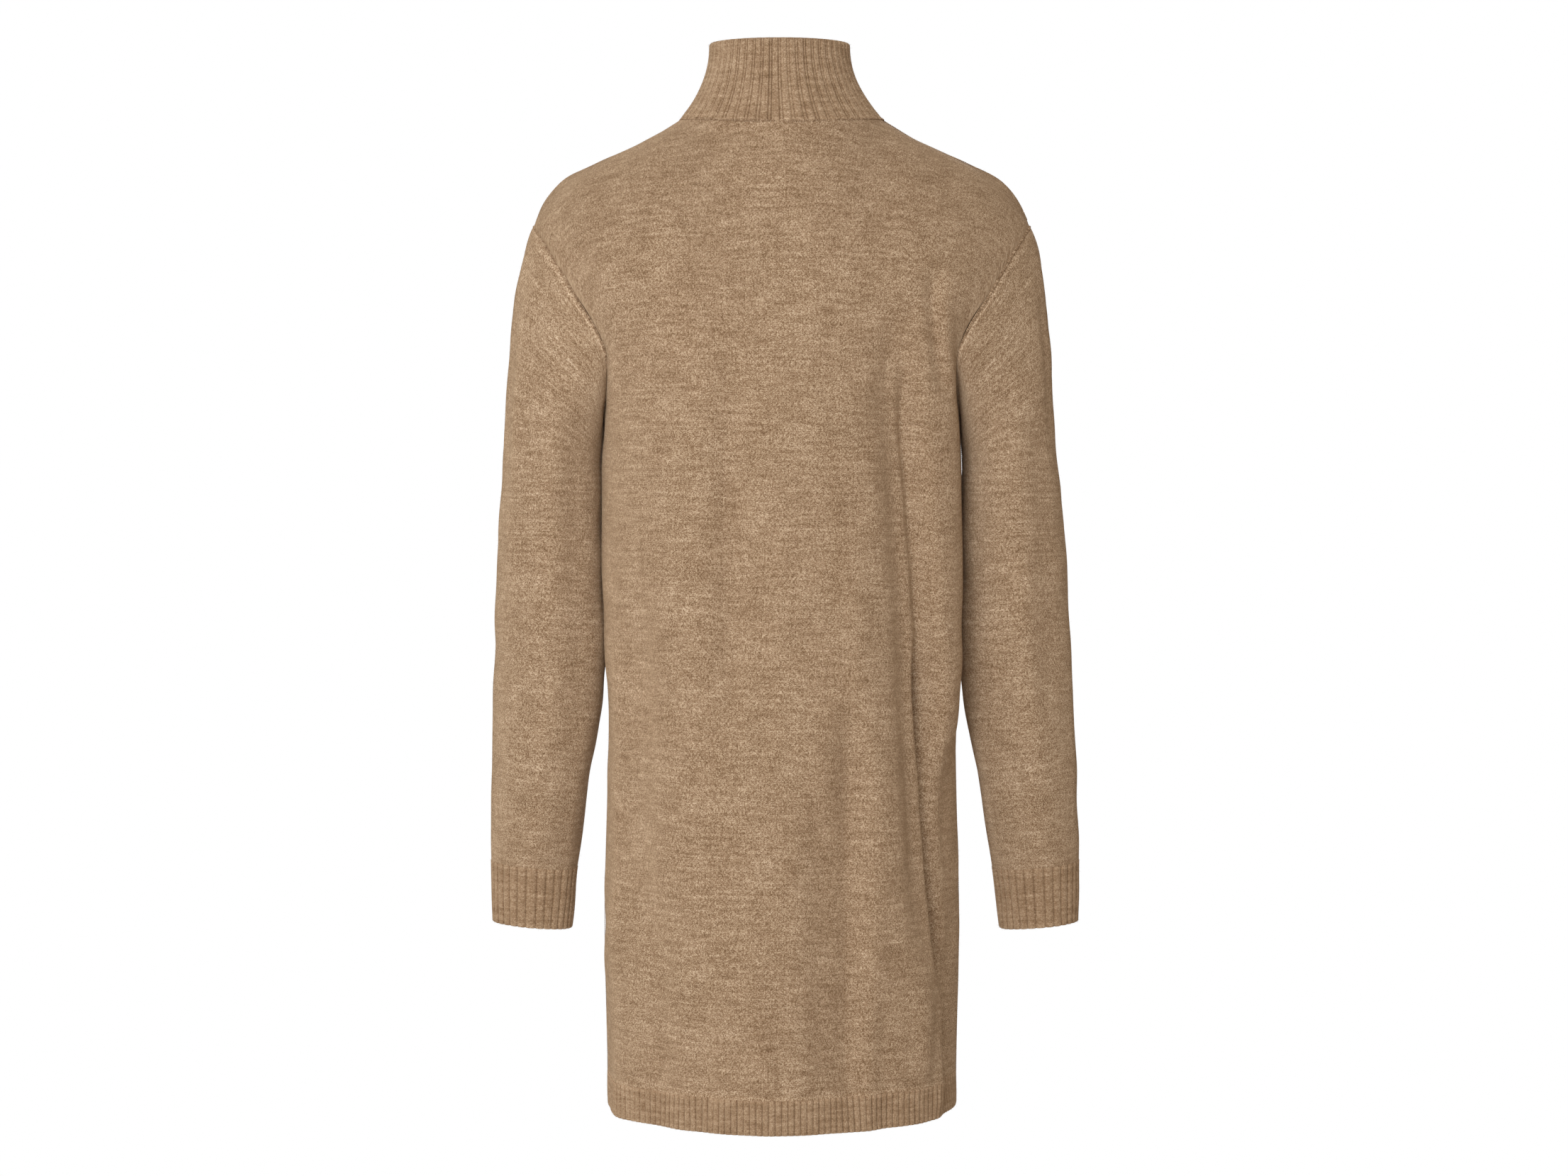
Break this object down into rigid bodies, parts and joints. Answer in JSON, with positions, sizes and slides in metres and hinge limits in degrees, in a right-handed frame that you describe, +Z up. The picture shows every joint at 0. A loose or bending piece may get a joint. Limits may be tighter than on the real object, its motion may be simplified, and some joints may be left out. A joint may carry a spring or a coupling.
{
  "type": "sweater dress",
  "caption": "Knee-length knitted sweater dress with a high ribbed collar, dropped shoulders, long sleeves and ribbed cuffs and hem, hollow as worn.",
  "frame": {"origin": "the middle of the neck, level with the two neck points where the shoulder seams meet the collar, where the wearer's neck and shoulders hold the dress", "axes": "+Z up, -Y the wearer's front, +X the wearer's left"},
  "size_m": [0.5241, 0.2504, 0.9277],
  "materials": {
    "body_knit": "brushed heathered camel stocking-stitch knit",
    "rib_knit": "brushed heathered camel rib knit"
  },
  "bodies": {
    "root": {"back_panel": "body_knit", "front_panel": "body_knit", "left_sleeve": "body_knit", "right_sleeve": "body_knit", "collar": "rib_knit", "left_cuff": "rib_knit", "right_cuff": "rib_knit", "hem_rib_back": "rib_knit", "hem_rib_front": "rib_knit"}
  },
  "joints": []
}
